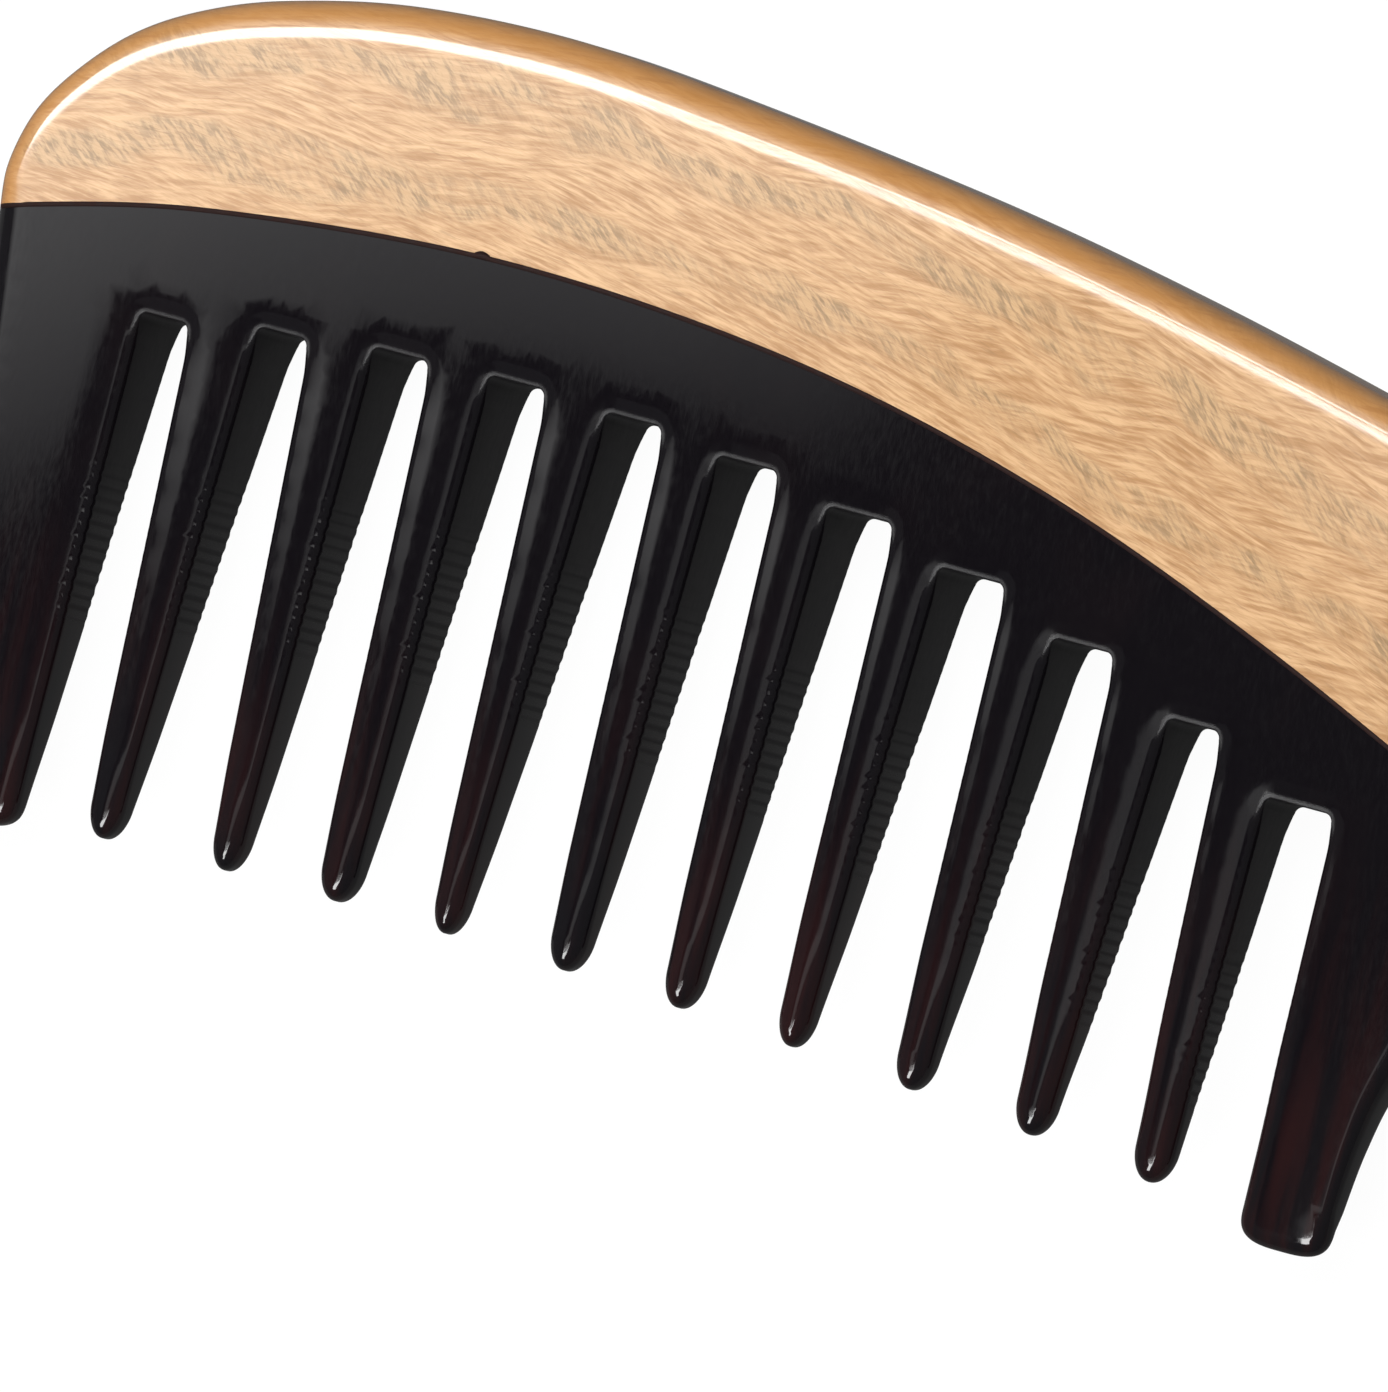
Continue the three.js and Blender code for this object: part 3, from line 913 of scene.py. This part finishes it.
HORN_BLACK = colour(13, 11, 14)
HORN_BROWN = colour(32, 15, 16)
HORN_CLOUDS = colour(22, 16, 18)
BROWN_TO_BLACK = (2.0, 27.0)  # y, from the thin tips up to where the horn is all black
GLUE_DARK = colour(16, 8, 8)
GLUE_LIGHT = colour(40, 20, 16)
BAMBOO_DARK = colour(170, 140, 84)
BAMBOO_LIGHT = colour(222, 200, 146)


def strokes(s, where, angle, cells, detail=3.0):
    """Noise drawn out into strokes that run at an angle to x."""
    x, y, z = where
    along = s.math("MULTIPLY_ADD", x, math.cos(angle), s.math("MULTIPLY", y, math.sin(angle)))
    across = s.math("MULTIPLY_ADD", y, math.cos(angle), s.math("MULTIPLY", x, -math.sin(angle)))
    return s.noise((along, across, z), cells, detail, STROKE_ROUGHNESS)


def sandalwood():
    """Pale green sandalwood. Its interlocked grain lies in bands: flat golden strokes, then
    short steep olive ones. Its rounded rim has a darker gold, partly the wood's own tone and partly
    painted shade, and painted shade along its outermost edge."""
    s = Shader("green_sandalwood")
    x, y, z = s.position()
    past = s.math("SUBTRACT", x, ARCH_TOP_X)
    curved = s.math("MINIMUM", past, ARCH_STRAIGHT_FROM)
    arch = s.math("MULTIPLY", s.math("MULTIPLY", curved, curved), ARCH_CURVE)
    arch = s.math("MULTIPLY_ADD", s.math("SUBTRACT", past, curved), ARCH_SLOPE, arch)
    across = s.math("ADD", y, arch)
    by_band = (x, across, z)

    drift = s.noise(by_band, (0.09, 0.2, 0.08), 2.0)
    phase = s.math("MULTIPLY", drift, BAND_DRIFT)
    phase = s.math("MULTIPLY_ADD", across, 2 * math.pi / BAND_WIDTH, phase)
    start = -BAND_DRIFT / 2 - 2 * math.pi * BAND_PLACE / BAND_WIDTH
    band = s.math("COSINE", s.math("ADD", phase, start))
    patches = s.fade(s.noise(by_band, (0.2, 0.45, 0.2), 2.0), 0.35, 0.6, 0.3, 1.0)
    is_steep = s.math("MULTIPLY", s.fade(band, -0.3, 0.9), patches)

    bent = s.math("MULTIPLY_ADD", arch, GRAIN_FOLLOWS_ARCH, y)
    where = (x, s.math("MULTIPLY_ADD", drift, GRAIN_SWAY, bent), z)
    flat = strokes(s, where, FLAT_GRAIN, (0.32, 3.4, 0.9))
    middle = strokes(s, where, MIDDLE_GRAIN, (0.4, 3.7, 1.0))
    steep = strokes(s, where, STEEP_GRAIN, (0.75, 3.6, 1.1))
    fine = strokes(s, where, MIDDLE_GRAIN, (0.7, 7.0, 2.0), 2.0)
    turn = s.noise(by_band, (0.12, 0.3, 0.1), 1.0)
    long_strokes = s.math("ADD", s.math("MULTIPLY", flat, s.fade(turn, 0.6, 0.4)),
                          s.math("MULTIPLY", middle, s.fade(turn, 0.4, 0.6)))

    gold = s.mix(s.fade(long_strokes, 0.32, 0.68), GOLD_DARK, GOLD_LIGHT)
    olive = s.mix(s.fade(steep, 0.36, 0.6), OLIVE_DARK, OLIVE_LIGHT)
    tone = s.mix(s.math("MULTIPLY", is_steep, BAND_SHARE), gold, olive)
    tone = s.mix(s.fade(fine, 0.56, 0.74, 0.0, 0.45), tone, PORES)
    edge = s.attribute("edge_mm")
    # Partly painted shade: a darker gold over the rounded rim where it turns away from the light, and
    # partly darker wood there
    tone = s.mix(s.fade(edge, 0.7, 2.2, 0.75, 0.0), tone, RIM_GOLD_AND_PAINTED_SHADE)
    # Grain strokes over the rim in the same darker gold, partly painted shade
    rim_strokes_and_shade = s.mix(s.fade(edge, 1.0, 2.0), RIM_STROKES_AND_PAINTED_SHADE, tone)
    tone = s.mix(s.fade(flat, 0.5, 0.68, 0.0, 0.5), tone, rim_strokes_and_shade)
    # Painted shade: a darker line along the outermost 0.6 mm of the rim
    tone = s.mix(s.fade(edge, 0.0, 0.6, 0.35, 0.0), tone, PAINTED_SHADE_OUTERMOST_RIM)
    s.set(Base_Color=tone)
    s.set(Roughness=s.fade(fine, 0.3, 0.7, 0.4, 0.52))
    s.set(Coat_Weight=1.0, Coat_Roughness=0.06, Coat_IOR=1.85, IOR=1.5)
    s.bump(s.math("ADD", fine, s.math("MULTIPLY", steep, 0.5)), 0.05, 0.4)
    return s.material


def horn():
    """Polished black horn, brown where it is thin, and matt in the marks of the saw."""
    s = Shader("black_horn")
    where = s.position()
    streaks = s.noise(where, (0.9, 0.06, 0.5), 3.0)
    clouds = s.noise(where, (0.12, 0.09, 0.2), 2.0)
    thin = s.fade(where[1], *BROWN_TO_BLACK, 1.0, 0.0)
    warm = s.math("MULTIPLY", thin, s.fade(streaks, 0.35, 0.7))
    base = s.mix(warm, HORN_BLACK, HORN_BROWN)
    s.set(Base_Color=s.mix(s.fade(clouds, 0.5, 0.75, 0.0, 0.3), base, HORN_CLOUDS))
    scratches = s.noise(where, (5.0, 1.2, 5.0), 2.0)
    polish = s.fade(scratches, 0.3, 0.75, 0.05, 0.1)
    s.set(Roughness=s.math("MULTIPLY_ADD", s.attribute("groove"), 0.5, polish), IOR=1.54)
    s.bump(scratches, 0.002, 0.2)
    return s.material


def glue():
    """Dark glue, dull and a little grainy."""
    s = Shader("dark_glue")
    grains = s.noise(s.position(), (2.0, 2.0, 2.0))
    s.set(Base_Color=s.mix(grains, GLUE_DARK, GLUE_LIGHT))
    s.set(Roughness=s.fade(grains, 0.2, 0.8, 0.6, 0.85), Specular_IOR_Level=0.15)
    s.bump(grains, 0.03, 0.5)
    return s.material


def bamboo():
    """Bamboo with fibres along the pins, which stand along y."""
    s = Shader("bamboo")
    fibres = s.noise(s.position(), (9.0, 0.5, 9.0))
    s.set(Base_Color=s.mix(s.fade(fibres, 0.3, 0.7), BAMBOO_DARK, BAMBOO_LIGHT))
    s.set(Roughness=s.fade(fibres, 0.3, 0.7, 0.75, 0.55))
    s.bump(fibres, 0.03, 0.6)
    return s.material


# ---------------------------------------------------------------- stage, lights and camera

FRAME_HEIGHT = 80.65 * MM
FRAME_CENTRE = (50.28, 22.04, 0.0)
CAMERA_TILT = math.radians(25)
CAMERA_ROLL = math.radians(15.2)
LENS = 1400.0
SENSOR = 36.0
CLIP_START = 0.1  # in distances from the camera to the comb
CLIP_END = 20

FLOOR_SIZE = 6000.0
FLOOR_CENTRE = (87.0, 28.0)
FLOOR_GAP = 0.02
FLOOR_SHADE = 0.03
FLOOR_GLOW = 0.97
FLOOR_GLOW_REFLECTED = 0.12

WORLD_COLOUR = (0.95, 0.97, 1.0, 1)
WORLD_GLOW = 1.0
WORLD_GLOW_REFLECTED = 0.1

# Softboxes: width and depth, centre, and light as (mm from the middle of the depth, strength)
SOFTBOX_HEIGHT = 400.0
KEY_SIZE = (900, 640)
KEY_CENTRE = (-144, 279, SOFTBOX_HEIGHT)
KEY_STEPS = [
    (-290, 0.0), (-285, 0.55), (-264, 1.4), (-220, 2.0),
    (-165, 8.3), (-5, 8.3), (50, 1.0), (320, 0.4),
]
KEY_BOW = 0.0087  # per mm: how the lit edge of the key softbox is bowed
KEY_BOW_LIMIT = 25.0
KEY_RISE_FROM = 11.0  # and where it climbs away to the right of its middle
KEY_RISE_TO = 31.0
STRIP_SIZE = (420, 220)
STRIP_CENTRE = (-30, 60, SOFTBOX_HEIGHT)
STRIP_STEPS = [(-110, 0.0), (-30, 0.6), (20, 0.6), (55, 0.05), (110, 0.0)]
TIP_LIGHT_SIZE = (150, 300)
TIP_LIGHT_CENTRE = (20, -245, SOFTBOX_HEIGHT)
TIP_LIGHT_STEPS = [(-150, 14.0), (110, 14.0), (150, 5.0)]


def add_camera():
    """A long lens, tilted about the length of the teeth and rolled, as in the photo."""
    data = bpy.data.cameras.new("camera")
    data.lens = LENS
    data.sensor_width = SENSOR
    camera = in_scene("camera", data)
    towards = Vector((math.sin(CAMERA_TILT), 0, math.cos(CAMERA_TILT)))
    level = Vector((math.cos(CAMERA_TILT), 0, -math.sin(CAMERA_TILT)))
    back = Vector((0, 1, 0))
    right = level * math.cos(CAMERA_ROLL) + back * math.sin(CAMERA_ROLL)
    up = back * math.cos(CAMERA_ROLL) - level * math.sin(CAMERA_ROLL)
    distance = FRAME_HEIGHT * LENS / SENSOR
    turn = Matrix((right, up, towards)).transposed().to_4x4()
    camera.matrix_world = Matrix.Translation(place(*FRAME_CENTRE) + towards * distance) @ turn
    data.clip_start = distance * CLIP_START
    data.clip_end = distance * CLIP_END
    bpy.context.scene.camera = camera


def stage_plane(name, size, centre, turn=0.0, faces_down=False):
    """A flat rectangle of the studio, in millimetres."""
    width, depth = size
    bm = bmesh.new()
    signs = [(-1, -1), (1, -1), (1, 1), (-1, 1)]
    if faces_down:
        signs.reverse()
    bm.faces.new([bm.verts.new((a * width / 2 * MM, b * depth / 2 * MM, 0)) for a, b in signs])
    obj = meshed(name, bm)
    obj.location = place(*centre)
    obj.rotation_euler = (0, 0, turn)
    return obj


def add_floor():
    """A white ground just below the comb, dark in reflections."""
    centre = (*FLOOR_CENTRE, -MID_Z / MM - FLOOR_GAP)
    floor = stage_plane("floor", (FLOOR_SIZE, FLOOR_SIZE), centre)
    s = Shader("pale_floor")
    s.set(Base_Color=(FLOOR_SHADE, FLOOR_SHADE, FLOOR_SHADE, 1), Roughness=0.9)
    s.set(Specular_IOR_Level=0.0, Emission_Color=(1, 1, 1, 1))
    s.set(Emission_Strength=s.seen_by_camera(FLOOR_GLOW_REFLECTED, FLOOR_GLOW))
    floor.data.materials.append(s.material)


def bowed(nodes, x, y):
    """The place along a panel's depth, bent so that lines of equal light are bowed."""
    bow = nodes.math("MULTIPLY", nodes.math("MULTIPLY", x, x), KEY_BOW / MM)
    bow = nodes.math("MINIMUM", bow, KEY_BOW_LIMIT * MM)
    rise = nodes.fade(x, KEY_RISE_FROM * MM, KEY_RISE_TO * MM, 0.0, KEY_BOW_LIMIT * MM)
    return nodes.math("SUBTRACT", nodes.math("ADD", y, bow), rise)


def panel(name, size, centre, turn, steps, is_bowed=False):
    """A softbox that faces down. Its light changes along its depth in the steps, whose lines of
    equal light can be bowed."""
    obj = stage_plane(name, size, centre, turn, True)
    material = bpy.data.materials.new(name)
    material.use_nodes = True
    nodes = Nodes(material.node_tree)
    nodes.tree.nodes.clear()
    out = nodes.tree.nodes.new("ShaderNodeOutputMaterial")
    glow = nodes.tree.nodes.new("ShaderNodeEmission")
    x, along_depth, _ = nodes.own_position()
    if is_bowed:
        along_depth = bowed(nodes, x, along_depth)
    strength = steps[0][1]
    for (low, before), (high, after) in zip(steps, steps[1:]):
        rise = nodes.fade(along_depth, low * MM, high * MM, 0.0, after - before)
        strength = nodes.math("ADD", rise, strength)
    nodes.feed(glow.inputs["Strength"], strength)
    nodes.feed(out.inputs["Surface"], glow.outputs[0])
    obj.data.materials.append(material)
    obj.visible_camera = False


def add_lights():
    panel("key_softbox", KEY_SIZE, KEY_CENTRE, 0, KEY_STEPS, True)
    panel("overhead_strip", STRIP_SIZE, STRIP_CENTRE, math.pi / 2, STRIP_STEPS)
    panel("tip_light", TIP_LIGHT_SIZE, TIP_LIGHT_CENTRE, 0, TIP_LIGHT_STEPS)


def add_world():
    """A white world, dark in reflections."""
    world = bpy.data.worlds.new("studio")
    bpy.context.scene.world = world
    world.use_nodes = True
    nodes = Nodes(world.node_tree)
    background = nodes.tree.nodes["Background"]
    background.inputs["Color"].default_value = WORLD_COLOUR
    level = nodes.seen_by_camera(WORLD_GLOW_REFLECTED, WORLD_GLOW)
    nodes.feed(background.inputs["Strength"], level)


# ---------------------------------------------------------------- putting it together

def add_piece(obj, node, material):
    """Gives a piece its material, hangs it from the root body, and hides the node of the part that it
    replaces.
    """
    obj.data.materials.append(material)
    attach(obj, "root")
    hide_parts(node)


add_piece(make_wooden_back(), "wooden_back", sandalwood())
add_piece(make_horn_plate(), "horn_tooth_plate", horn())
add_piece(make_glue_line(), "glue_line", glue())
pin_material = bamboo()
for node_name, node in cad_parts.items():
    if node_name.startswith("dowel_pin_"):
        node.data.materials.clear()
        node.data.materials.append(pin_material)

add_floor()
add_lights()
add_world()
add_camera()
bpy.context.scene.view_settings.view_transform = "Standard"
